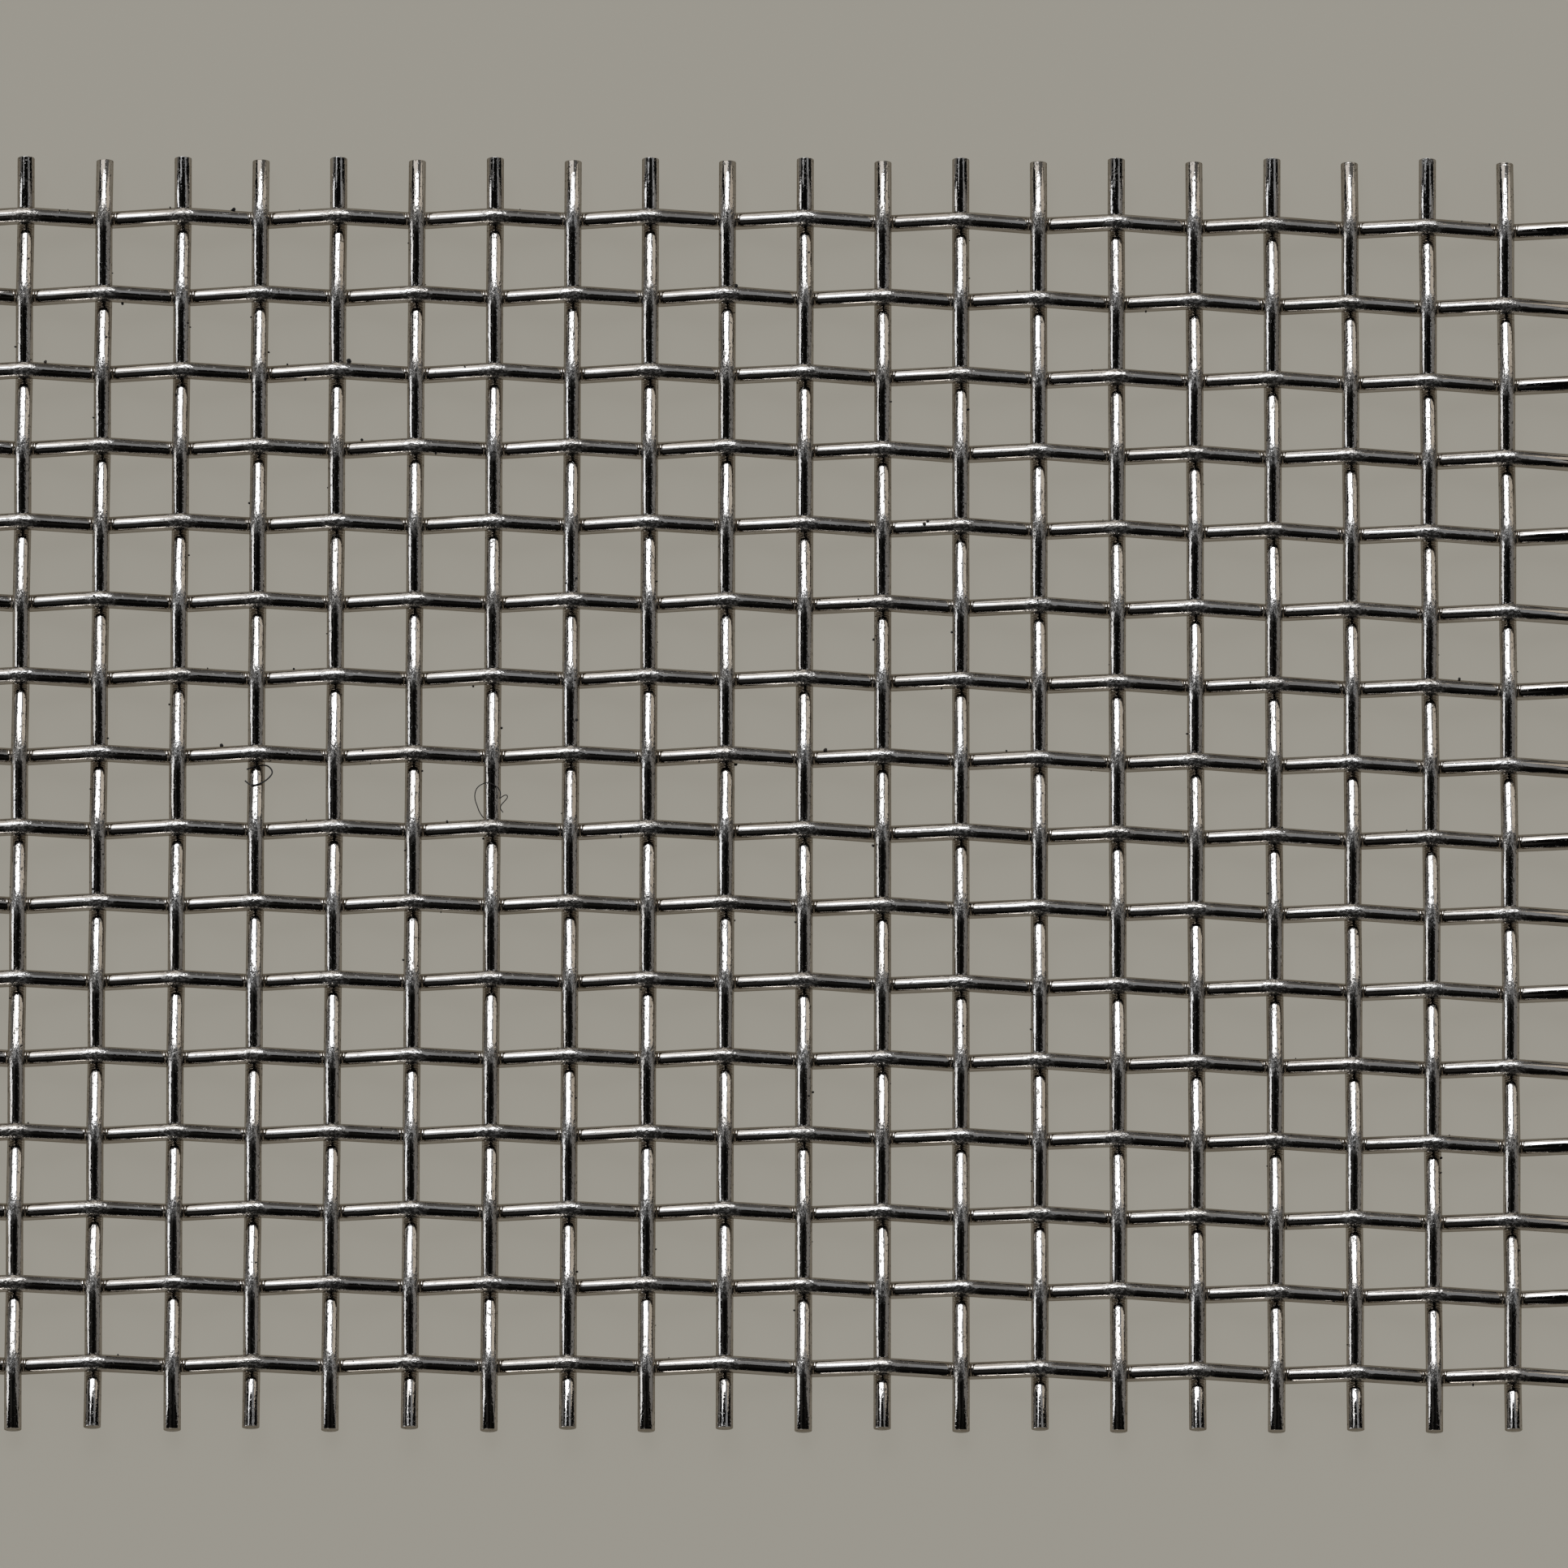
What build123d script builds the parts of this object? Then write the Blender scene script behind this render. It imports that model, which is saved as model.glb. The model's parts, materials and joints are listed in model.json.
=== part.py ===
from build123d import *

# Wire gauze: a sheared piece of plain-woven square-mesh steel wire cloth.
# Warp wires run along Y and weft wires along X. Each wire is crimped into a zigzag that goes
# over one crossing wire and under the next, which is all that holds the cloth together.
# Frame: +Z up, origin in the middle of the sheet's rectangle, on the surface that the sheet lies on.
import os
from math import atan, ceil, cos, pi, sin, tan

# Cloth, in millimetres
warp_count = 20
weft_count = 16
warp_pitch = 1.27
weft_pitch = 1.27
warp_diameter = 0.28
weft_diameter = 0.28
crossing_clearance = 0.004

# Share of the two wires' summed crimp that the weft takes: half in a balanced weave
weft_crimp_share = 0.5

# The weft lies square to the warp across this many warp wires, then drops a little at each one after
square_warp_count = 10
weft_drop = 0.0165

# Wires that lie unevenly: warp wires by column from the left, with each one's shift along X as a share
# of the warp pitch, and weft wires by row from the far edge, with each one's shift along Y as a share
# of the weft pitch
uneven_warp_shares = {0: -0.02, 1: -0.01, 5: 0.01, 6: 0.015, 7: 0.015, 8: 0.01}
uneven_weft_shares = {0: 0.05, 1: 0.02, 5: -0.03, 6: -0.03, 7: -0.05, 8: -0.02, 14: 0.03}

# Length of wire left past the outermost crossing wire where the sheet is sheared
warp_tail = 1.05
weft_tail = 1.1

# The drawn wire's round section as a polygon with flats up, down and to the sides, on the true diameter
quarter_sides = 2
section_sides = 4 * quarter_sides

# Steps in which the crimp settles, far more than it needs
crimp_steps = 30

# Worked out from the sizes above
warp_radius = warp_diameter / 2
weft_radius = weft_diameter / 2
half_flat_share = tan(pi / section_sides)
corner_angles = [(2 * side + 1) * pi / section_sides for side in range(section_sides)]
sheet_width = (warp_count - 1) * warp_pitch + 2 * weft_tail
sheet_length = (weft_count - 1) * weft_pitch + 2 * warp_tail
outer_columns = ceil(weft_tail / warp_pitch)
outer_rows = ceil((warp_tail + warp_count * weft_drop) / weft_pitch)


def run_angle(crimp, pitch):
    """Slope of a wire's straight run from a crest to the next trough, one pitch on."""
    return atan(2 * crimp / pitch)


def settle_crimp():
    """Heights of the warp and weft crests above the mid-plane at which crossing wires just clear.

    The steeper the runs, the closer they come to the flanks of the wire that they cross,
    so the height is worked out again from the slope that it gives.
    """
    total = warp_radius + weft_radius
    for _ in range(crimp_steps):
        weft_slope = run_angle(total * weft_crimp_share, warp_pitch)
        warp_slope = run_angle(total * (1 - weft_crimp_share), weft_pitch)
        skins = warp_radius / cos(warp_slope) + weft_radius / cos(weft_slope)
        flanks = half_flat_share * (warp_radius * tan(weft_slope) + weft_radius * tan(warp_slope))
        total = skins + flanks + crossing_clearance
    return total * (1 - weft_crimp_share), total * weft_crimp_share


warp_crimp, weft_crimp = settle_crimp()
warp_depth = warp_crimp + warp_radius / cos(run_angle(warp_crimp, weft_pitch))
weft_depth = weft_crimp + weft_radius / cos(run_angle(weft_crimp, warp_pitch))
mid_height = max(warp_depth, weft_depth)


def warp_place(column):
    """Distance of a warp wire from the sheet's middle, along X."""
    return (column - (warp_count - 1) / 2 + uneven_warp_shares.get(column, 0)) * warp_pitch


def weft_place(row, column):
    """Distance of a weft wire from the sheet's middle, along Y, where it meets a warp wire."""
    square_place = ((weft_count - 1) / 2 - row + uneven_weft_shares.get(row, 0)) * weft_pitch
    return square_place - max(0, column - square_warp_count + 1) * weft_drop


def weft_side(row, column):
    """1 where the weft passes over the warp and -1 where it passes under."""
    return 1 if (row + column) % 2 == 0 else -1


def drawn_wire(points, diameter, level):
    """A wire of this diameter through the points, its bends mitred, with one flat facing each way.

    The corners of its section run straight on to the mitre plane of each bend, and the faces between
    them close the skin.
    """
    spots = [Vector(*point) for point in points]
    runs = [(end - start).normalized() for start, end in zip(spots, spots[1:])]
    start = Plane(origin=spots[0], x_dir=level, z_dir=runs[0])
    corner_distance = diameter / 2 / cos(pi / section_sides)
    rings = [[start.from_local_coords((corner_distance * cos(angle), corner_distance * sin(angle), 0))
              for angle in corner_angles]]
    for spot, run, next_run in zip(spots[1:], runs, runs[1:] + runs[-1:]):
        mitre = run + next_run
        rings.append([corner + run * ((spot - corner).dot(mitre) / run.dot(mitre)) for corner in rings[-1]])
    skin = [Face(Wire.make_polygon(rings[0])), Face(Wire.make_polygon(rings[-1]))]
    for ring, next_ring in zip(rings, rings[1:]):
        for side in range(section_sides):
            corners = [ring[side - 1], ring[side], next_ring[side], next_ring[side - 1]]
            skin.append(Face(Wire.make_polygon(corners)))
    return Solid(Shell(skin))


def warp_wire(column):
    """One warp wire of the cloth, from a crossing above the sheet to one below it."""
    points = [
        (
            warp_place(column),
            weft_place(row, column),
            mid_height - weft_side(row, column) * warp_crimp,
        )
        for row in range(-outer_rows, weft_count + outer_rows)
    ]
    return drawn_wire(points, warp_diameter, (1, 0, 0))


def weft_wire(row):
    """One weft wire of the cloth, from a crossing left of the sheet to one right of it."""
    points = [
        (
            warp_place(column),
            weft_place(row, column),
            mid_height + weft_side(row, column) * weft_crimp,
        )
        for column in range(-outer_columns, warp_count + outer_columns)
    ]
    return drawn_wire(points, weft_diameter, (0, 1, 0))


def sheared(wire):
    """The part of a wire that is left when the cloth is sheared to the sheet's rectangle."""
    sheet = Pos(0, 0, mid_height) * Box(sheet_width, sheet_length, 2 * mid_height + warp_diameter)
    return wire & sheet


def main():
    os.makedirs("parts", exist_ok=True)
    for column in range(warp_count):
        export_step(sheared(warp_wire(column)), f"parts/warp_wire_{column + 1:02d}.step")
    for row in range(weft_count):
        export_step(sheared(weft_wire(row)), f"parts/weft_wire_{row + 1:02d}.step")


main()
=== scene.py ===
import json
import math
import random

import bpy
import numpy as np
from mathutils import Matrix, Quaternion, Vector
from mathutils.bvhtree import BVHTree

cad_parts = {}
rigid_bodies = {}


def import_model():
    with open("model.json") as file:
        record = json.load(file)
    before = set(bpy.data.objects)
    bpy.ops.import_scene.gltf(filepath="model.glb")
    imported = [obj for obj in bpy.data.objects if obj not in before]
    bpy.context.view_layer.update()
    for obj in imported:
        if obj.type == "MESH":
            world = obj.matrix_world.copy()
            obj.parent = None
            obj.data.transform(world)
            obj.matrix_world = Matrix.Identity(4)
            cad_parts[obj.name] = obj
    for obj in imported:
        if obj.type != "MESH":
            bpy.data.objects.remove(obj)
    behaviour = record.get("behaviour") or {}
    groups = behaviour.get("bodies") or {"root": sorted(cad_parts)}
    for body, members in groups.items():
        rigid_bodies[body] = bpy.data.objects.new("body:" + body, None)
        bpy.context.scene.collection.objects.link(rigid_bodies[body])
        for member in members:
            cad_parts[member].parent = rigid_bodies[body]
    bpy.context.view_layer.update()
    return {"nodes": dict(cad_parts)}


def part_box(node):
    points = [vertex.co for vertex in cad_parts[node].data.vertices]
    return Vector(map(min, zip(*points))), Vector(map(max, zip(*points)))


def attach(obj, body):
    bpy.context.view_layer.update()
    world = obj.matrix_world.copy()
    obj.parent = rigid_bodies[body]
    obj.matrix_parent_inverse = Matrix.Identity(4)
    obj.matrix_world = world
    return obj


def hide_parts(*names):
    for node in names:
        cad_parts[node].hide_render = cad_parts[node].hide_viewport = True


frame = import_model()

bl_info = {
    "name": "Wire Gauze Finish",
    "version": (1, 0, 0),
    "blender": (4, 5, 0),
    "location": "View3D > Sidebar > Wire Gauze",
    "description": "Draws round crimped wires, dust and lint over the packed wire gauze and sets its stage",
    "category": "Object",
}

MILLIMETRE = 0.001
MICROMETRE = 0.000001

# Nodes of the frame, in the order in which they lie in the cloth
WARP_NODES = sorted(node for node in frame["nodes"] if node.startswith("warp_wire_"))
WEFT_NODES = sorted(node for node in frame["nodes"] if node.startswith("weft_wire_"))

# Steps in which the crimp settles, far more than it needs
CRIMP_STEPS = 20


def settled_crimp(thickness, pitch, radius):
    """Height of a mitred crest's centre line over the mid-plane, from the cloth's thickness."""
    crimp = thickness / 2 - radius
    for _ in range(CRIMP_STEPS):
        crimp = thickness / 2 - radius / math.cos(math.atan(2 * crimp / pitch))
    return crimp


# Sizes of the cloth, read from the frame
WARP_BOXES = [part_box(node) for node in WARP_NODES]
WEFT_BOXES = [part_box(node) for node in WEFT_NODES]
WIRE_RADIUS = (WARP_BOXES[0][1].x - WARP_BOXES[0][0].x) / 2
WARP_PLACES = [(low.x + high.x) / 2 for low, high in WARP_BOXES]
WARP_PITCH = (WARP_PLACES[-1] - WARP_PLACES[0]) / (len(WARP_PLACES) - 1)
WEFT_PLACES = [high.y - WIRE_RADIUS for low, high in WEFT_BOXES]
WEFT_PITCH = (WEFT_PLACES[0] - WEFT_PLACES[-1]) / (len(WEFT_PLACES) - 1)
SHEET_LEFT, SHEET_RIGHT = WEFT_BOXES[0][0].x, WEFT_BOXES[0][1].x
SHEET_NEAR, SHEET_FAR = WARP_BOXES[0][0].y, WARP_BOXES[0][1].y
SHEET_THICKNESS = WEFT_BOXES[0][1].z - WEFT_BOXES[0][0].z
MID_HEIGHT = SHEET_THICKNESS / 2
CRIMP = settled_crimp(SHEET_THICKNESS, WARP_PITCH, WIRE_RADIUS)

# Millimetres by which the marks of one wire are set off from the next wire's, and the weft's from the warp's
WIRE_OFFSET = 40.0
WEFT_OFFSET = 1000.0

# How the wires are cut: share of the bevel within which cut corners merge, rings of the bevel, and the
# sharpest angle that is shaded smooth
CUT_MERGE_SHARE = 0.01
SHEAR_RINGS = 2
SMOOTH_ANGLE = math.radians(40)

# Wear of the steel, 0 to 1
WARP_WEAR = 1.0
WEFT_WEAR = 0.2

# Marks of the steel: lengths along the wire in millimetres, noise scales along, across and up the wire
DENT_PERIOD = 0.046
DENTS_START = (0.13, 0.15)
DENTS_END = (0.20, 0.23)
BEND_REACH = (0.06, 0.28)
BEND_SIDE_SHARES = (0.0, 0.8)
LINE_SCALE = (1.6, 32.0, 32.0)
GRAIN_SCALE = (18.0, 26.0, 26.0)
FROST_SCALE = (20.0, 32.0, 32.0)
TARNISH_SCALE = (1.1, 6.0, 6.0)
PIT_RANGE = (0.63, 0.70)
TARNISH_RANGE = (0.35, 0.7)
SPECKLE_RANGE = (0.47, 0.62)

# Relief of the marks, as shares of the bump's depth
STEEL_BUMP = 4.0 * MICROMETRE
LINE_RELIEF = 0.2
LINE_WEAR_RELIEF = 0.4
FROST_WEAR_RELIEF = 0.38
FROST_BEND_RELIEF = 1.9
PIT_RELIEF = 0.25
DENT_RELIEF = 0.35

# Roughness of the steel, and how far it is from a clean metal on the stretched side of a bend
POLISH = 0.05
LINE_ROUGHNESS = 0.05
BEND_ROUGHNESS = 0.14
PIT_ROUGHNESS = 0.2
BEND_DULLNESS = 0.04
SPECKLE_DULLNESS = 0.3

# Colours of the steel, the dust, the lint and the floor's glow
STEEL_BRIGHT = (0.50, 0.465, 0.425, 1)
STEEL_TARNISHED = (0.40, 0.36, 0.315, 1)
STEEL_PITTED = (0.10, 0.09, 0.075, 1)
STEEL_GLANCE = (0.60, 0.57, 0.52, 1)
PIT_DARKNESS = 0.8
DUST_DARK = (0.012, 0.010, 0.009, 1)
DUST_BROWN = (0.055, 0.042, 0.030, 1)
LINT_DARK = (0.016, 0.013, 0.011, 1)
LINT_PALE = (0.075, 0.062, 0.050, 1)
FLOOR_GLOW = (0.33, 0.312, 0.272, 1)
FIBRE_SHADE = 0.97

# Noise scales of dust, lint and floor, per metre
DUST_PATCH_SCALE = (4000.0, 4000.0, 4000.0)
DUST_CRUMB_SCALE = (90000.0, 90000.0, 90000.0)
LINT_PATCH_SCALE = (9000.0, 9000.0, 9000.0)
FLOOR_FIBRE_SCALE = (900.0, 900.0, 900.0)
DUST_BUMP = 2.0 * MICROMETRE

# Where the noise of dust and lint goes from the first colour to the second, and their roughness
DUST_PATCH_RANGE = (0.4, 0.65)
LINT_PATCH_RANGE = (0.4, 0.7)
DUST_ROUGHNESS = 0.7
DUST_CRUMB_ROUGHNESS = 0.25
LINT_ROUGHNESS = 0.45
LINT_PATCH_ROUGHNESS = 0.3

# Grains: kinds of lump, rings of a lump and of a crumb, how far corners are knocked out of place, and the
# least and greatest stretch
LUMP_KINDS = 3
LUMP_RINGS = 2
CRUMB_RINGS = 1
LUMP_KNOCK = 0.13
LUMP_STRETCH = (0.75, 1.25)

# Places of grains: the steps in which a line of sight through the cloth is searched, the share of a grain's
# width beyond which it hangs on a wire's flank, and how far from a wire's middle its skin is sought, in radii
SIGHT_STEPS = 20
FLANK_SHARE = 0.25
PROBE_SHARE = 1.2

# Steps in which a lint fibre's height settles on its wire
LINT_STEPS = 5

# Soft panels round the cloth: name, azimuth from and to, elevation from and to, brightness and tint, with
# angles in degrees and the distance in metres
PANEL_DISTANCE = 0.7
PLAIN = (1.0, 1.0, 1.0)
COOL = (0.90, 0.97, 1.07)
WARM = (1.05, 0.99, 0.90)
PANELS = (
    ("key_panel", -24, 20, 33, 60, 3.5, COOL),
    ("key_side", -50, -24, 33, 60, 2.4, COOL),
    ("key_wing", -86, -44, 52, 66, 0.8, COOL),
    ("key_apron", -36, 4, 3, 33, 1.05, PLAIN),
    ("left_fill", -78, -52, 2, 27, 0.2, PLAIN),
    ("left_strip", -110, -82, 4, 32, 1.9, COOL),
    ("left_haze", -155, -105, 42, 66, 0.025, PLAIN),
    ("top_fill", 24, 100, 44, 65, 0.40, COOL),
    ("far_fill", 6, 36, 6, 44, 0.13, PLAIN),
    ("right_fill", 36, 64, 5, 42, 0.75, WARM),
    ("right_wall", 84, 112, 0, 46, 0.26, PLAIN),
    ("right_haze", 105, 150, 42, 64, 0.01, PLAIN),
    ("front_strip", -173, -157, 2, 8, 3.4, PLAIN),
)

# Camera's sensor in millimetres, its clipping distances in metres, and the side in pixels of the square
# picture that dust and lint are placed by
SENSOR_WIDTH = 36
CLIP_START = 0.01
CLIP_END = 20
PICTURE_PIXELS = 1932
PIXEL_SHARE = SENSOR_WIDTH / PICTURE_PIXELS

# Larger dust grains: pixels across and down, and width in pixels
DUST_PIXELS = (
    (288, 257, 5), (151, 373, 4), (430, 444, 7), (331, 434, 3), (446, 542, 4), (376, 467, 3),
    (354, 448, 2.5), (56, 444, 4), (907, 353, 4), (273, 920, 5), (470, 1024, 3), (362, 824, 3),
    (208, 868, 3), (618, 897, 3), (710, 887, 3), (520, 950, 2.5), (551, 1013, 3), (693, 1002, 2.5),
    (583, 845, 3), (925, 1015, 2.5), (1075, 1042, 4), (904, 1134, 3), (1139, 646, 4), (1143, 642, 3),
    (1076, 788, 3), (1172, 779, 3), (1195, 741, 3), (1192, 700, 3), (1798, 838, 4), (1017, 925, 4),
    (905, 941, 5), (902, 938, 3), (999, 954, 3), (307, 620, 2.5), (405, 601, 2.5),
)

# Lint fibres: the warp wire's column, and pixels across and down along the fibre
LINT_PIXELS = {
    "lint_hook": (3, (
        (304, 948), (309, 946), (316, 944), (322, 943), (329, 943), (334, 947), (336, 952), (333, 957),
        (326, 963), (319, 966), (312, 968), (306, 966), (302, 962))),
    "lint_curl": (6, (
        (596, 1008), (591, 1002), (588, 993), (585, 985), (585, 977), (588, 970), (594, 966),
        (600, 964), (607, 966), (613, 970), (616, 974), (617, 979), (615, 985), (619, 981), (624, 979),
        (626, 982), (622, 987), (617, 992), (616, 997), (620, 1001))),
}


class GauzeWireSizes(bpy.types.PropertyGroup):
    """Sizes of the drawn and crimped wires."""
    bend_radius: bpy.props.FloatProperty(
        name="Bend Radius", description="Radius of a wire's centre line where it bends over another wire",
        default=0.85 * MILLIMETRE, unit="LENGTH", precision=6)
    section_sides: bpy.props.IntProperty(
        name="Section Sides", description="Facets round a wire", default=28, min=8)
    bend_steps: bpy.props.IntProperty(
        name="Bend Steps", description="Rings along each bend", default=7, min=2)
    square_columns: bpy.props.IntProperty(
        name="Square Columns", description="Warp wires that the weft crosses squarely before it drops",
        default=10, min=1)
    weft_drop: bpy.props.FloatProperty(
        name="Weft Drop",
        description="How far the weft drops from one warp wire to the next, past the square part",
        default=0.0165 * MILLIMETRE, unit="LENGTH", precision=7)
    shear_bevel: bpy.props.FloatProperty(
        name="Shear Bevel", description="Rounding of a sheared end's rim",
        default=0.012 * MILLIMETRE, unit="LENGTH", precision=7)


class GauzeDirtSizes(bpy.types.PropertyGroup):
    """Dust and lint caught on the wires."""
    lint_widths: bpy.props.FloatVectorProperty(
        name="Lint Widths", description="Thickness of the hooked and of the curled fibre",
        default=(24 * MICROMETRE, 16 * MICROMETRE), size=2, unit="LENGTH", precision=7)
    fine_count: bpy.props.IntProperty(
        name="Fine Grains", description="Fine grains strewn over the wires", default=260, min=0)
    fine_width: bpy.props.FloatVectorProperty(
        name="Fine Width", description="Least and greatest width of a fine grain",
        default=(16 * MICROMETRE, 42 * MICROMETRE), size=2, unit="LENGTH", precision=7)
    sink_share: bpy.props.FloatProperty(
        name="Sink Share", description="Share of a grain's half width that is sunk in the wire's skin",
        default=0.45)
    seed: bpy.props.IntProperty(name="Seed", description="Choice of the strewn grains", default=7)


class GauzeStageSizes(bpy.types.PropertyGroup):
    """Camera, floor and lights."""
    elevation: bpy.props.FloatProperty(
        name="Elevation", description="Camera's height angle over the floor",
        default=math.radians(76.57), subtype="ANGLE")
    roll: bpy.props.FloatProperty(
        name="Roll", description="Camera's turn about its line of sight",
        default=math.radians(0.105), subtype="ANGLE", precision=4)
    distance: bpy.props.FloatProperty(
        name="Distance", description="Camera's distance from the point that it looks at",
        default=329 * MILLIMETRE, unit="LENGTH")
    lens: bpy.props.FloatProperty(
        name="Lens", description="Focal length in millimetres for a 36 mm wide picture", default=465.8)
    aim: bpy.props.FloatVectorProperty(
        name="Aim", description="Point of the cloth's mid-plane in the middle of the picture",
        default=(0.306 * MILLIMETRE, 0.112 * MILLIMETRE), size=2, unit="LENGTH", precision=7)
    floor_size: bpy.props.FloatProperty(
        name="Floor Size", description="Side of the square floor", default=6.0, unit="LENGTH")
    floor_colour: bpy.props.FloatVectorProperty(
        name="Floor Colour", description="Warm pale grey of the floor",
        default=(0.80, 0.755, 0.66), size=3, subtype="COLOR")
    floor_glow_share: bpy.props.FloatProperty(
        name="Floor Glow Share", description="Share of the floor's look that no shadow darkens", default=0.93)
    room_level: bpy.props.FloatProperty(
        name="Room Level", description="Brightness of the dim room round the set", default=0.004)


class Signal:
    """A value in a material's node tree: Python's operators on it add Math nodes."""

    def __init__(self, finish, socket):
        self.finish = finish
        self.socket = socket

    def math(self, operation, *operands):
        """A Math node of this operation on the signal and the operands, in order."""
        inputs = dict(enumerate((self, *operands)))
        node = self.finish.node("ShaderNodeMath", {"operation": operation}, inputs)
        return self.finish.signal(node, 0)

    def __add__(self, other):
        return self.math("ADD", other)

    def __radd__(self, other):
        return self.math("ADD", other)

    def __sub__(self, other):
        return self.math("SUBTRACT", other)

    def __rsub__(self, other):
        return (self * -1).math("ADD", other)

    def __mul__(self, other):
        return self.math("MULTIPLY", other)

    def between(self, low, high):
        """0 below low, 1 above high, and a smooth step between."""
        node = self.finish.node(
            "ShaderNodeMapRange", {"interpolation_type": "SMOOTHSTEP"},
            {"Value": self, "From Min": low, "From Max": high})
        return self.finish.signal(node, "Result")


class Finish:
    """A material under construction, with one method for any kind of node."""

    def __init__(self, name):
        self.material = bpy.data.materials.new(name)
        self.material.use_nodes = True
        self.tree = self.material.node_tree
        self.tree.nodes.clear()

    def node(self, kind, settings, inputs):
        """A node of this type with its settings, then the values or links of its sockets."""
        node = self.tree.nodes.new(kind)
        for name, value in settings.items():
            setattr(node, name, value)
        for key, value in inputs.items():
            socket = node.inputs[key] if isinstance(key, int) else self.find(node.inputs, key)
            if isinstance(value, Signal):
                self.tree.links.new(value.socket, socket)
            else:
                socket.default_value = value
        return node

    @staticmethod
    def find(sockets, key):
        """The socket with this identifier or, failing that, this name."""
        for socket in sockets:
            if socket.identifier == key:
                return socket
        return sockets[key]

    def signal(self, node, key):
        """One output of a node."""
        return Signal(self, node.outputs[key] if isinstance(key, int) else self.find(node.outputs, key))

    def attribute(self, name, output):
        """A mesh attribute of the piece."""
        return self.signal(self.node("ShaderNodeAttribute", {"attribute_name": name}, {}), output)

    def noise(self, vector, scale, detail):
        """Noise from 0 to 1 over a vector whose axes are scaled first."""
        placed = self.node("ShaderNodeMapping", {}, {"Vector": vector, "Scale": scale})
        node = self.node(
            "ShaderNodeTexNoise", {},
            {"Vector": self.signal(placed, 0), "Scale": 1.0, "Detail": detail, "Roughness": 0.5})
        return self.signal(node, 0)

    def blend(self, share, first, second):
        """A colour between two colours."""
        node = self.node(
            "ShaderNodeMix", {"data_type": "RGBA"},
            {"Factor_Float": share, "A_Color": first, "B_Color": second})
        return self.signal(node, "Result_Color")

    def surface(self, shader):
        """Makes this shader the material's surface."""
        self.node("ShaderNodeOutputMaterial", {}, {"Surface": shader})
        return self.material


def steel_finish(name, wear):
    """Bright drawn steel: die lines along the wire, pits, and a duller skin where a bend was stretched."""
    finish = Finish(name)
    place = finish.attribute("wire_place", "Vector")
    turns = finish.attribute("dip_turns", "Fac")
    pitch = WARP_PITCH / MILLIMETRE
    from_dip = ((turns + 0.5).math("FRACT") - 0.5).math("ABSOLUTE") * (2 * pitch)
    dents = (from_dip * (2 * math.pi / DENT_PERIOD)).math("SINE") * from_dip.between(*DENTS_START)
    dents = dents * (1 - from_dip.between(*DENTS_END))
    axes = finish.node("ShaderNodeSeparateXYZ", {}, {0: place})
    rise = finish.signal(axes, "Z") * (MILLIMETRE / WIRE_RADIUS)
    crest = (1 - (pitch - from_dip).between(*BEND_REACH)) * rise.between(*BEND_SIDE_SHARES)
    bend = crest + (1 - from_dip.between(*BEND_REACH)) * (rise * -1).between(*BEND_SIDE_SHARES)
    lines = finish.noise(place, LINE_SCALE, 2.0)
    grain = finish.noise(place, GRAIN_SCALE, 1.0)
    frost = finish.noise(place, FROST_SCALE, 1.0)
    tarnish = finish.noise(place, TARNISH_SCALE, 2.0)
    pits = grain.between(*PIT_RANGE)
    height = lines * (LINE_RELIEF + LINE_WEAR_RELIEF * wear)
    height = height + frost * (FROST_WEAR_RELIEF * wear + bend * FROST_BEND_RELIEF)
    height = height - pits * (PIT_RELIEF * wear) + dents * DENT_RELIEF
    bump = finish.node("ShaderNodeBump", {}, {"Strength": 1.0, "Distance": STEEL_BUMP, "Height": height})
    clean = finish.blend(tarnish.between(*TARNISH_RANGE), STEEL_BRIGHT, STEEL_TARNISHED)
    colour = finish.blend(pits * (PIT_DARKNESS * wear), clean, STEEL_PITTED)
    roughness = POLISH + lines * LINE_ROUGHNESS + bend * BEND_ROUGHNESS + pits * PIT_ROUGHNESS
    dull = bend * (BEND_DULLNESS + frost.between(*SPECKLE_RANGE) * SPECKLE_DULLNESS)
    shader = finish.node(
        "ShaderNodeBsdfPrincipled", {},
        {"Base Color": colour, "Metallic": 1 - dull, "Roughness": roughness, "Specular Tint": STEEL_GLANCE,
         "Normal": finish.signal(bump, 0)})
    return finish.surface(finish.signal(shader, 0))


def dust_finish():
    """Dark mineral dust, some grains browner than others."""
    finish = Finish("dark_dust")
    coordinates = finish.node("ShaderNodeTexCoord", {}, {})
    place = finish.signal(coordinates, "Object")
    patch = finish.noise(place, DUST_PATCH_SCALE, 1.0)
    crumb = finish.noise(place, DUST_CRUMB_SCALE, 2.0)
    colour = finish.blend(patch.between(*DUST_PATCH_RANGE), DUST_DARK, DUST_BROWN)
    bump = finish.node("ShaderNodeBump", {}, {"Strength": 1.0, "Distance": DUST_BUMP, "Height": crumb})
    shader = finish.node(
        "ShaderNodeBsdfPrincipled", {},
        {"Base Color": colour, "Roughness": DUST_ROUGHNESS + crumb * DUST_CRUMB_ROUGHNESS,
         "Normal": finish.signal(bump, 0)})
    return finish.surface(finish.signal(shader, 0))


def lint_finish():
    """Dark textile fibre, a little paler in places along its length."""
    finish = Finish("dark_lint")
    coordinates = finish.node("ShaderNodeTexCoord", {}, {})
    place = finish.signal(coordinates, "Object")
    patch = finish.noise(place, LINT_PATCH_SCALE, 2.0)
    colour = finish.blend(patch.between(*LINT_PATCH_RANGE), LINT_DARK, LINT_PALE)
    shader = finish.node(
        "ShaderNodeBsdfPrincipled", {},
        {"Base Color": colour, "Roughness": LINT_ROUGHNESS + patch * LINT_PATCH_ROUGHNESS})
    return finish.surface(finish.signal(shader, 0))


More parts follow.
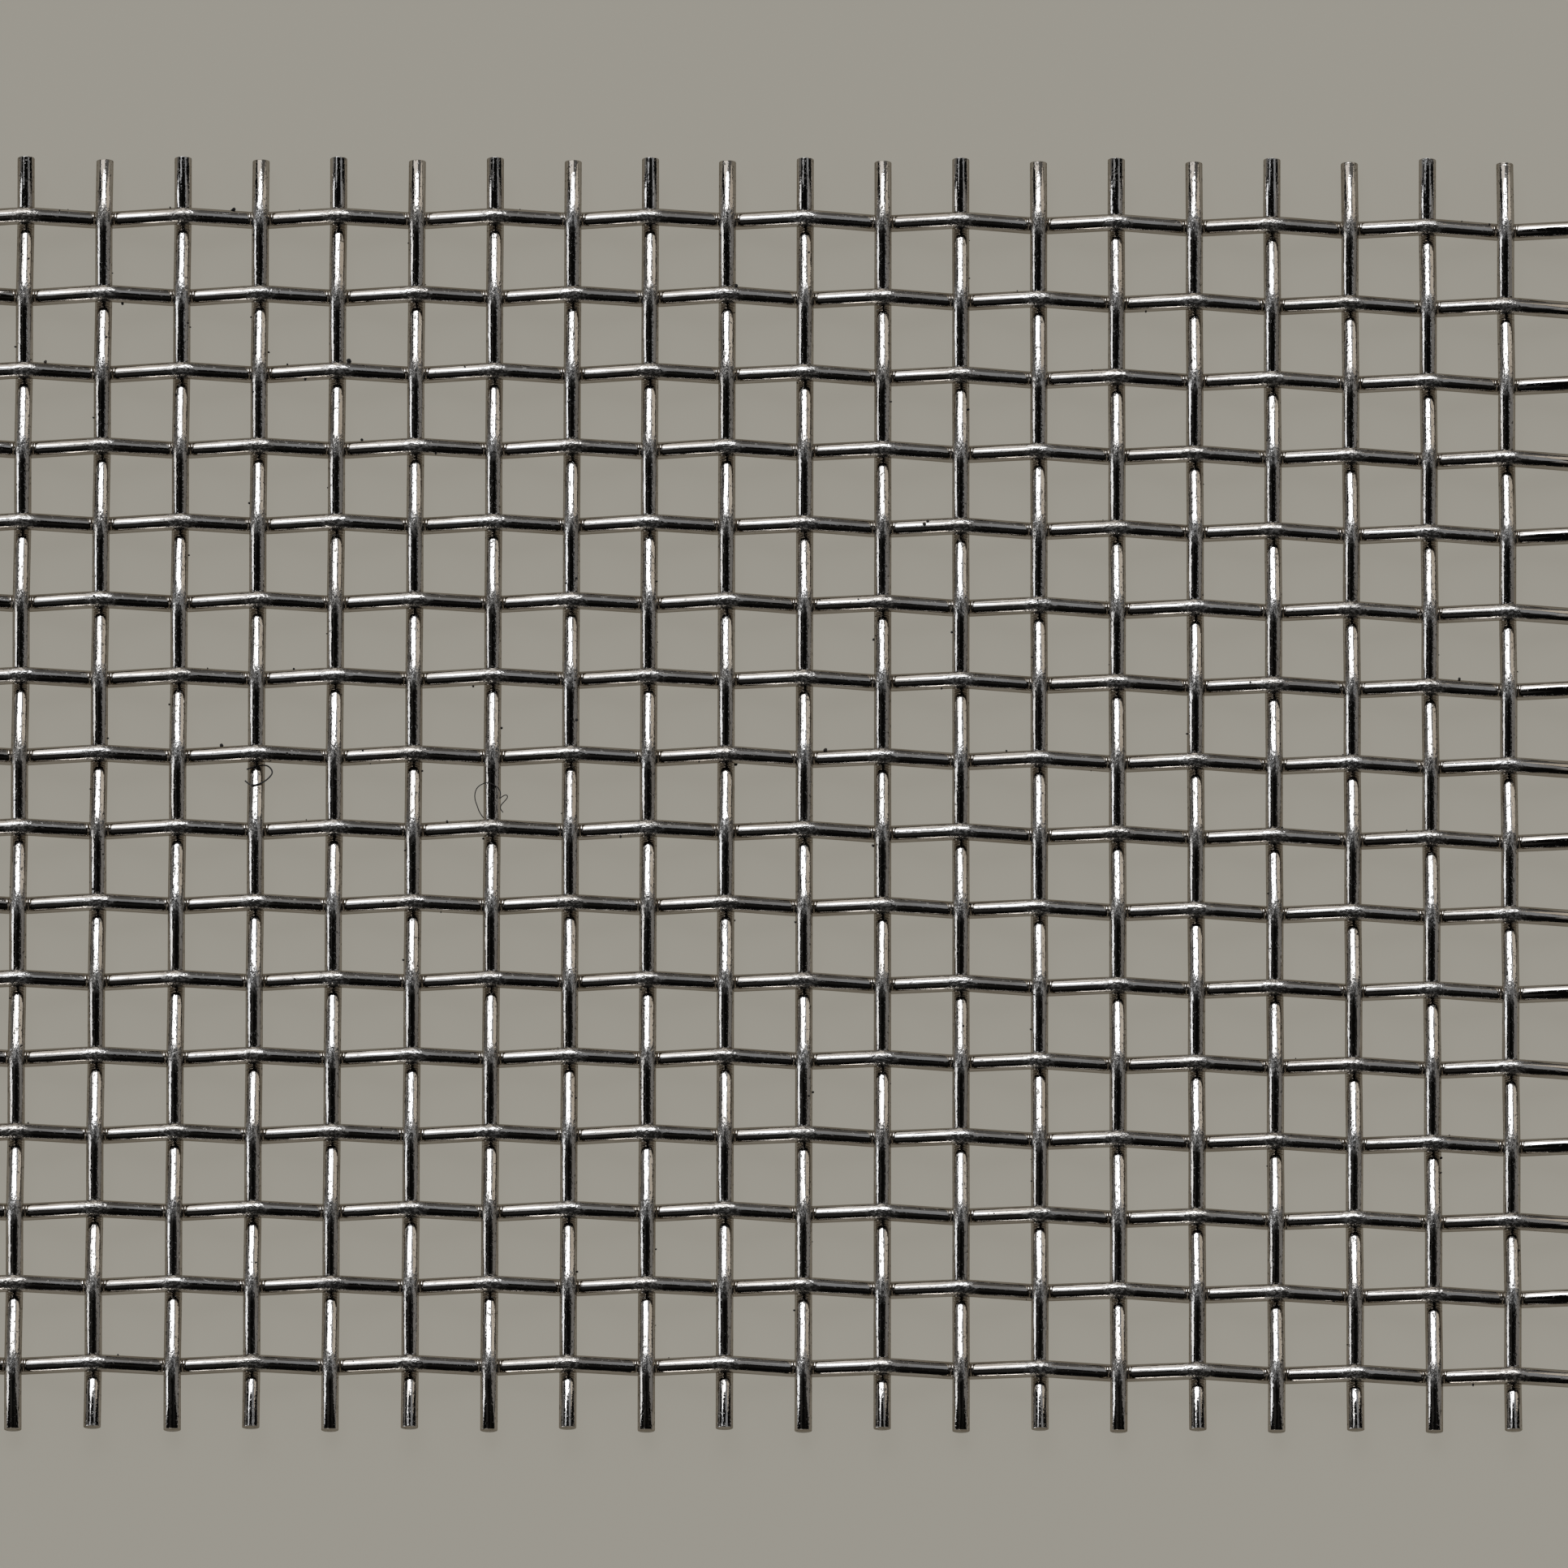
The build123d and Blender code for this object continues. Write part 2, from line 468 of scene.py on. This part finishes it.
def floor_finish(stage):
    """Warm grey paper that keeps a softened shadow."""
    finish = Finish("grey_paper")
    coordinates = finish.node("ShaderNodeTexCoord", {}, {})
    fibre = finish.noise(finish.signal(coordinates, "Object"), FLOOR_FIBRE_SCALE, 3.0)
    dark = tuple(FIBRE_SHADE * value for value in stage.floor_colour)
    colour = finish.blend(fibre, (*stage.floor_colour, 1), (*dark, 1))
    paper = finish.node("ShaderNodeBsdfDiffuse", {}, {"Color": colour})
    glow = finish.node("ShaderNodeEmission", {}, {"Color": FLOOR_GLOW, "Strength": 1.0})
    path = finish.node("ShaderNodeLightPath", {}, {})
    seen = finish.signal(path, "Is Camera Ray").math("MAXIMUM", finish.signal(path, "Is Glossy Ray"))
    share = seen * stage.floor_glow_share
    mixed = finish.node(
        "ShaderNodeMixShader", {}, {0: share, 1: finish.signal(paper, 0), 2: finish.signal(glow, 0)})
    return finish.surface(finish.signal(mixed, 0))


def bends_of(route, radius):
    """Each inner corner of a route as (bend start, bend end, centre, axis, turn angle)."""
    bends = []
    for before, corner, after in zip(route, route[1:], route[2:]):
        inward = (corner - before).normalized()
        outward = (after - corner).normalized()
        turn = inward.angle(outward)
        setback = radius * math.tan(turn / 2)
        axis = inward.cross(outward).normalized()
        start = corner - inward * setback
        centre = start + axis.cross(inward) * radius
        bends.append((start, corner + outward * setback, centre, axis, turn))
    return bends


def draw_wire(name, route, sizes):
    """A round wire along a zigzag route: a circle drawn out along each run and spun round each bend."""
    bpy.ops.object.select_all(action="DESELECT")
    heading = (route[1] - route[0]).normalized()
    bpy.ops.mesh.primitive_circle_add(
        vertices=sizes.section_sides, radius=WIRE_RADIUS, location=route[0],
        rotation=heading.to_track_quat("Z", "Y").to_euler())
    wire = bpy.context.object
    wire.name = name
    bpy.ops.object.transform_apply(location=True, rotation=True, scale=True)
    bpy.ops.object.mode_set(mode="EDIT")
    bpy.ops.mesh.select_all(action="SELECT")
    here = route[0]
    for start, end, centre, axis, turn in bends_of(route, sizes.bend_radius):
        bpy.ops.mesh.extrude_region_move(TRANSFORM_OT_translate={"value": start - here})
        bpy.ops.mesh.spin(
            steps=sizes.bend_steps, angle=-turn, center=centre, axis=axis, use_auto_merge=False)
        here = end
    bpy.ops.mesh.extrude_region_move(TRANSFORM_OT_translate={"value": route[-1] - here})
    bpy.ops.mesh.select_all(action="SELECT")
    bpy.ops.mesh.normals_make_consistent(inside=False)
    bpy.ops.object.mode_set(mode="OBJECT")
    return wire


def copy_wire(master, name, shift):
    """A copy of a drawn wire with a mesh of its own, moved to its place."""
    wire = bpy.data.objects.new(name, master.data.copy())
    bpy.context.collection.objects.link(wire)
    bpy.ops.object.select_all(action="DESELECT")
    wire.select_set(True)
    bpy.context.view_layer.objects.active = wire
    bpy.ops.transform.translate(value=shift)
    bpy.ops.object.transform_apply(location=True, rotation=True, scale=True)
    return wire


def shear_ends(wire, axis, low, high, sizes):
    """Cuts both ends of a wire square to the sheet, closes them and rounds their rims."""
    bpy.context.view_layer.objects.active = wire
    bpy.ops.object.mode_set(mode="EDIT")
    for place, side in ((low, -1), (high, 1)):
        bpy.ops.mesh.select_all(action="SELECT")
        bpy.ops.mesh.bisect(
            plane_co=axis * place, plane_no=axis * side, use_fill=True, clear_outer=True,
            threshold=sizes.shear_bevel * CUT_MERGE_SHARE)
        bpy.ops.mesh.bevel(offset=sizes.shear_bevel, segments=SHEAR_RINGS, affect="EDGES")
    bpy.ops.mesh.select_all(action="SELECT")
    bpy.ops.mesh.normals_make_consistent(inside=False)
    bpy.ops.object.mode_set(mode="OBJECT")
    bpy.ops.object.shade_smooth_by_angle(angle=SMOOTH_ANGLE)


def route_samples(route, sizes):
    """Points along a route's runs and bends, close together, and how far along each lies."""
    samples = [route[0]]
    for start, end, centre, axis, turn in bends_of(route, sizes.bend_radius):
        arm = start - centre
        for step in range(sizes.bend_steps + 1):
            spoke = arm.copy()
            spoke.rotate(Quaternion(axis, turn * step / sizes.bend_steps))
            samples.append(centre + spoke)
    samples.append(route[-1])
    points = np.array(samples)
    lengths = np.linalg.norm(np.diff(points, axis=0), axis=1)
    return points, np.concatenate(([0.0], np.cumsum(lengths)))


def mark_wire(wire, route, sides, sizes, offset):
    """Gives a wire two attributes.

    The first is each point's place on the wire as if it were straight, in millimetres. The second counts
    turns of the weave along the wire, with a whole number at each dip under another wire.
    """
    count = len(wire.data.vertices)
    flat = np.empty(count * 3, dtype=np.float32)
    wire.data.vertices.foreach_get("co", flat)
    skin = flat.reshape(-1, 3).astype(float)
    points, along = route_samples(route, sizes)
    first, step = points[:-1], np.diff(points, axis=0)
    length = np.linalg.norm(step, axis=1)
    heading = step / length[:, None]
    gap = skin[:, None, :] - first[None, :, :]
    reach = np.clip((gap * heading[None]).sum(axis=2), 0, length[None])
    miss = np.linalg.norm(gap - reach[..., None] * heading[None], axis=2)
    nearest = miss.argmin(axis=1)
    rows = np.arange(count)
    distance = along[nearest] + reach[rows, nearest]
    out = gap[rows, nearest] - reach[rows, nearest, None] * heading[nearest]
    up = np.array([0.0, 0.0, 1.0])
    up_way = up[None] - (heading[nearest] @ up)[:, None] * heading[nearest]
    up_way /= np.linalg.norm(up_way, axis=1)[:, None]
    side_way = np.cross(heading[nearest], up_way)
    rise = (out * up_way).sum(axis=1)
    swing = (out * side_way).sum(axis=1)
    place = np.stack((distance / MILLIMETRE + offset, swing / MILLIMETRE, rise / MILLIMETRE), axis=1)
    layer = wire.data.attributes.new("wire_place", "FLOAT_VECTOR", "POINT")
    layer.data.foreach_set("vector", place.astype(np.float32).ravel())
    first_ring = 1 + np.arange(len(route) - 2) * (sizes.bend_steps + 1)
    middles = (along[first_ring] + along[first_ring + sizes.bend_steps]) / 2
    crossing = np.interp(distance, [0.0, *middles, along[-1]], np.arange(len(sides)))
    layer = wire.data.attributes.new("dip_turns", "FLOAT", "POINT")
    layer.data.foreach_set("value", ((crossing + (sides[0] > 0)) / 2).astype(np.float32))


def weft_side(row, column):
    """1 where the weft passes over the warp and -1 where it passes under."""
    return 1 if (row + column) % 2 == 0 else -1


def drop_at(column, sizes):
    """How far the weft has dropped where it meets a warp wire."""
    return max(0, column - sizes.square_columns + 1) * sizes.weft_drop


def weft_route(row, sizes):
    """Corners of a weft wire, from one crossing left of the sheet to one right of it, and its sides."""
    columns = range(-1, len(WARP_NODES) + 1)
    places = [WARP_PLACES[0] - WARP_PITCH, *WARP_PLACES, WARP_PLACES[-1] + WARP_PITCH]
    sides = [weft_side(row, column) for column in columns]
    route = [
        Vector((place, WEFT_PLACES[row] - drop_at(column, sizes), MID_HEIGHT + side * CRIMP))
        for place, column, side in zip(places, columns, sides)
    ]
    return route, sides


def warp_route(column, sizes):
    """Corners of a warp wire, from one crossing past the sheet's far edge to one past its near edge."""
    places = [WEFT_PLACES[0] + WEFT_PITCH, *WEFT_PLACES, WEFT_PLACES[-1] - WEFT_PITCH]
    sides = [-weft_side(row, column) for row in range(-1, len(WEFT_NODES) + 1)]
    drop = drop_at(column, sizes)
    route = [
        Vector((WARP_PLACES[column], place - drop, MID_HEIGHT + side * CRIMP))
        for place, side in zip(places, sides)
    ]
    return route, sides


def weave(nodes, route_of, axis, low, high, first_offset, steel):
    """One round wire for each node: the two phases of the zigzag are drawn once and copied."""
    sizes = bpy.context.scene.gauze_wire_sizes
    masters = [draw_wire(f"master_{phase}", route_of(phase, sizes)[0], sizes) for phase in range(2)]
    for index, node in enumerate(nodes):
        route, sides = route_of(index, sizes)
        shift = route[0] - route_of(index % 2, sizes)[0][0]
        wire = copy_wire(masters[index % 2], f"round_{node}", shift)
        shear_ends(wire, axis, low, high, sizes)
        mark_wire(wire, route, sides, sizes, first_offset + WIRE_OFFSET * index)
        wire.data.materials.append(steel)
        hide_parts(node)
        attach(wire, "root")
    for master in masters:
        bpy.data.objects.remove(master)


class GAUZE_OT_warp_wires(bpy.types.Operator):
    """Draw the round warp wires over their nodes"""
    bl_idname = "gauze.warp_wires"
    bl_label = "Draw Warp Wires"

    def execute(self, context):
        weave(WARP_NODES, warp_route, Vector((0, 1, 0)), SHEET_NEAR, SHEET_FAR, 0.0,
              steel_finish("warp_steel", WARP_WEAR))
        return {"FINISHED"}


class GAUZE_OT_weft_wires(bpy.types.Operator):
    """Draw the round weft wires over their nodes"""
    bl_idname = "gauze.weft_wires"
    bl_label = "Draw Weft Wires"

    def execute(self, context):
        weave(WEFT_NODES, weft_route, Vector((1, 0, 0)), SHEET_LEFT, SHEET_RIGHT, WEFT_OFFSET,
              steel_finish("weft_steel", WEFT_WEAR))
        return {"FINISHED"}


def camera_pose(stage):
    """The camera's place and turn."""
    tilt = math.pi / 2 - stage.elevation
    aim = Vector((stage.aim[0], stage.aim[1], MID_HEIGHT))
    place = aim + Vector((0, -math.sin(tilt), math.cos(tilt))) * stage.distance
    return place, Quaternion((1, 0, 0), tilt) @ Quaternion((0, 0, 1), stage.roll)


def pixel_point(across, down, height, stage):
    """The point at a height over the floor that shows at a pixel of the picture."""
    place, turned = camera_pose(stage)
    half = PICTURE_PIXELS / 2
    side = PIXEL_SHARE / stage.lens
    sight = turned @ Vector(((across - half) * side, (half - down) * side, -1))
    return place + sight * ((height - place.z) / sight.z)


def wire_skin():
    """A search tree over the skins of all the round wires."""
    corners, faces = [], []
    for node in (*WARP_NODES, *WEFT_NODES):
        mesh = bpy.data.objects[f"round_{node}"].data
        first = len(corners)
        corners.extend(vertex.co.copy() for vertex in mesh.vertices)
        faces.extend([first + corner for corner in face.vertices] for face in mesh.polygons)
    return BVHTree.FromPolygons(corners, faces)


def grain_master(name, rings, seed):
    """A lump one unit wide: a ball of flat faces knocked out of round."""
    bpy.ops.object.select_all(action="DESELECT")
    bpy.ops.mesh.primitive_ico_sphere_add(subdivisions=rings, radius=0.5)
    lump = bpy.context.object
    lump.name = name
    bpy.ops.object.mode_set(mode="EDIT")
    bpy.ops.mesh.select_all(action="SELECT")
    bpy.ops.transform.vertex_random(offset=LUMP_KNOCK, seed=seed)
    bpy.ops.object.mode_set(mode="OBJECT")
    return lump


def place_grain(master, spot, outward, width, draw, sink_share):
    """A copy of a lump, stretched and turned at random, sunk a little into the skin at a spot."""
    grain = bpy.data.objects.new("grain", master.data.copy())
    bpy.context.collection.objects.link(grain)
    grain.scale = [width * draw.uniform(*LUMP_STRETCH) for _ in range(3)]
    grain.rotation_euler = [draw.uniform(0, 2 * math.pi) for _ in range(3)]
    grain.location = spot + outward * (width / 2 * (1 - sink_share))
    return grain


class GAUZE_OT_dust(bpy.types.Operator):
    """Strew dust grains over the wires"""
    bl_idname = "gauze.dust"
    bl_label = "Strew Dust"

    def execute(self, context):
        dirt, stage = context.scene.gauze_dirt_sizes, context.scene.gauze_stage_sizes
        sizes = context.scene.gauze_wire_sizes
        draw = random.Random(dirt.seed)
        skin = wire_skin()
        pixel = PIXEL_SHARE * stage.distance / stage.lens
        lumps = [grain_master(f"lump_{kind}", LUMP_RINGS, kind + 1) for kind in range(LUMP_KINDS)]
        crumb = grain_master("crumb", CRUMB_RINGS, LUMP_KINDS + 1)
        grains = []
        for across, down, width in DUST_PIXELS:
            heights = [SHEET_THICKNESS * step / SIGHT_STEPS for step in range(SIGHT_STEPS + 1)]
            sights = [pixel_point(across, down, height, stage) for height in heights]
            found = [(skin.find_nearest(sight), sight) for sight in sights]
            (spot, normal, _, gap), sight = min(found, key=lambda pair: pair[0][3])
            outward = (sight - spot).normalized() if gap > width * pixel * FLANK_SHARE else normal
            lump = draw.choice(lumps)
            grains.append(place_grain(lump, spot, outward, width * pixel, draw, dirt.sink_share))
        for _ in range(dirt.fine_count):
            warp = draw.random() < len(WARP_NODES) / (len(WARP_NODES) + len(WEFT_NODES))
            route = (warp_route(draw.randrange(len(WARP_NODES)), sizes) if warp
                     else weft_route(draw.randrange(len(WEFT_NODES)), sizes))[0]
            first = draw.randrange(1, len(route) - 2)
            centre = route[first].lerp(route[first + 1], draw.random())
            lean = draw.uniform(-math.pi / 2, math.pi / 2)
            across = Vector((1, 0, 0)) if warp else Vector((0, 1, 0))
            side = across * math.sin(lean) + Vector((0, 0, math.cos(lean)))
            probe = centre + side * WIRE_RADIUS * PROBE_SHARE
            spot, normal, _, _ = skin.find_nearest(probe)
            width = draw.uniform(*dirt.fine_width)
            grains.append(place_grain(crumb, spot, normal, width, draw, dirt.sink_share))
        bpy.ops.object.select_all(action="DESELECT")
        for grain in grains:
            grain.select_set(True)
        context.view_layer.objects.active = grains[0]
        bpy.ops.object.join()
        dust = context.object
        dust.name = "dust_grains"
        bpy.ops.object.transform_apply(location=True, rotation=True, scale=True)
        bpy.ops.object.mode_set(mode="EDIT")
        bpy.ops.mesh.select_all(action="SELECT")
        bpy.ops.mesh.normals_make_consistent(inside=False)
        bpy.ops.object.mode_set(mode="OBJECT")
        dust.data.materials.append(dust_finish())
        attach(dust, "root")
        for master in (*lumps, crumb):
            bpy.data.objects.remove(master)
        return {"FINISHED"}


def crown_height(route, along):
    """Height of the top of a warp wire at a place along Y."""
    for before, after in zip(route, route[1:]):
        if before.y >= along >= after.y:
            slope = math.atan2(after.z - before.z, before.y - after.y)
            share = (before.y - along) / (before.y - after.y)
            return before.z + (after.z - before.z) * share + WIRE_RADIUS / math.cos(slope)
    raise RuntimeError("the fibre lies past the end of its wire")


class GAUZE_OT_lint(bpy.types.Operator):
    """Lay the two lint fibres over their warp wires"""
    bl_idname = "gauze.lint"
    bl_label = "Lay Lint"

    def execute(self, context):
        stage, sizes = context.scene.gauze_stage_sizes, context.scene.gauze_wire_sizes
        finish = lint_finish()
        for (name, (column, pixels)), width in zip(
                LINT_PIXELS.items(), context.scene.gauze_dirt_sizes.lint_widths):
            route = warp_route(column, sizes)[0]
            curve = bpy.data.curves.new(name, "CURVE")
            curve.dimensions = "3D"
            curve.bevel_depth = width / 2
            curve.bevel_resolution = 2
            curve.resolution_u = 5
            curve.use_fill_caps = True
            spline = curve.splines.new("NURBS")
            spline.points.add(len(pixels) - 1)
            for point, (across, down) in zip(spline.points, pixels):
                height = MID_HEIGHT
                for _ in range(LINT_STEPS):
                    spot = pixel_point(across, down, height, stage)
                    height = crown_height(route, spot.y) + width / 2
                point.co = (*spot, 1)
            spline.order_u = 3
            spline.use_endpoint_u = True
            bpy.ops.object.select_all(action="DESELECT")
            fibre = bpy.data.objects.new(name, curve)
            context.collection.objects.link(fibre)
            fibre.select_set(True)
            context.view_layer.objects.active = fibre
            bpy.ops.object.convert(target="MESH")
            bpy.ops.object.shade_smooth()
            fibre.data.materials.clear()
            fibre.data.materials.append(finish)
            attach(fibre, "root")
        return {"FINISHED"}


def panel_light(name, left, right, low, high, level, tint):
    """A soft panel that fills a range of azimuth, from the far side to the right, and of elevation."""
    azimuth, elevation = math.radians((left + right) / 2), math.radians((low + high) / 2)
    level_share = math.cos(elevation)
    away = Vector((math.sin(azimuth) * level_share, math.cos(azimuth) * level_share, math.sin(elevation)))
    lamp = bpy.data.lights.new(name, "AREA")
    lamp.shape = "RECTANGLE"
    lamp.size = 2 * PANEL_DISTANCE * math.tan(math.radians(right - left) / 2) * level_share
    lamp.size_y = 2 * PANEL_DISTANCE * math.tan(math.radians(high - low) / 2)
    lamp.energy = level * math.pi * lamp.size * lamp.size_y
    lamp.color = tint
    panel = bpy.data.objects.new(name, lamp)
    bpy.context.collection.objects.link(panel)
    panel.location = away * PANEL_DISTANCE
    panel.rotation_euler = away.to_track_quat("Z", "Y").to_euler()


class GAUZE_OT_stage(bpy.types.Operator):
    """Lay the floor, hang the lights and set the camera"""
    bl_idname = "gauze.stage"
    bl_label = "Set Stage"

    def execute(self, context):
        stage = context.scene.gauze_stage_sizes
        bpy.ops.object.select_all(action="DESELECT")
        bpy.ops.mesh.primitive_plane_add(size=stage.floor_size, location=(0, 0, 0))
        floor = context.object
        floor.name = "floor"
        floor.data.materials.append(floor_finish(stage))

        for panel in PANELS:
            panel_light(*panel)

        world = bpy.data.worlds.new("dim_room")
        world.use_nodes = True
        background = world.node_tree.nodes["Background"]
        background.inputs["Color"].default_value = (1, 1, 1, 1)
        background.inputs["Strength"].default_value = stage.room_level
        context.scene.world = world

        camera = bpy.data.objects.new("camera", bpy.data.cameras.new("camera"))
        context.collection.objects.link(camera)
        camera.data.lens = stage.lens
        camera.data.sensor_width = SENSOR_WIDTH
        camera.data.clip_start = CLIP_START
        camera.data.clip_end = CLIP_END
        camera.location, turned = camera_pose(stage)
        camera.rotation_euler = turned.to_euler()
        context.scene.camera = camera
        context.scene.view_settings.view_transform = "Standard"
        return {"FINISHED"}


class GAUZE_PT_panel(bpy.types.Panel):
    """The gauze's sizes and steps in the sidebar"""
    bl_idname = "GAUZE_PT_panel"
    bl_label = "Wire Gauze"
    bl_space_type = "VIEW_3D"
    bl_region_type = "UI"
    bl_category = "Wire Gauze"

    def draw(self, context):
        layout = self.layout
        scene = context.scene
        for group in (scene.gauze_wire_sizes, scene.gauze_dirt_sizes, scene.gauze_stage_sizes):
            box = layout.box()
            for name in group.__annotations__:
                box.prop(group, name)
        for operator in OPERATORS:
            layout.operator(operator.bl_idname)


OPERATORS = (GAUZE_OT_warp_wires, GAUZE_OT_weft_wires, GAUZE_OT_dust, GAUZE_OT_lint, GAUZE_OT_stage)
CLASSES = (GauzeWireSizes, GauzeDirtSizes, GauzeStageSizes, *OPERATORS, GAUZE_PT_panel)


def register():
    for cls in CLASSES:
        bpy.utils.register_class(cls)
    bpy.types.Scene.gauze_wire_sizes = bpy.props.PointerProperty(type=GauzeWireSizes)
    bpy.types.Scene.gauze_dirt_sizes = bpy.props.PointerProperty(type=GauzeDirtSizes)
    bpy.types.Scene.gauze_stage_sizes = bpy.props.PointerProperty(type=GauzeStageSizes)


def unregister():
    del bpy.types.Scene.gauze_stage_sizes
    del bpy.types.Scene.gauze_dirt_sizes
    del bpy.types.Scene.gauze_wire_sizes
    for cls in reversed(CLASSES):
        bpy.utils.unregister_class(cls)


def main():
    register()
    bpy.ops.gauze.warp_wires()
    bpy.ops.gauze.weft_wires()
    bpy.ops.gauze.dust()
    bpy.ops.gauze.lint()
    bpy.ops.gauze.stage()


if __name__ == "__main__":
    main()
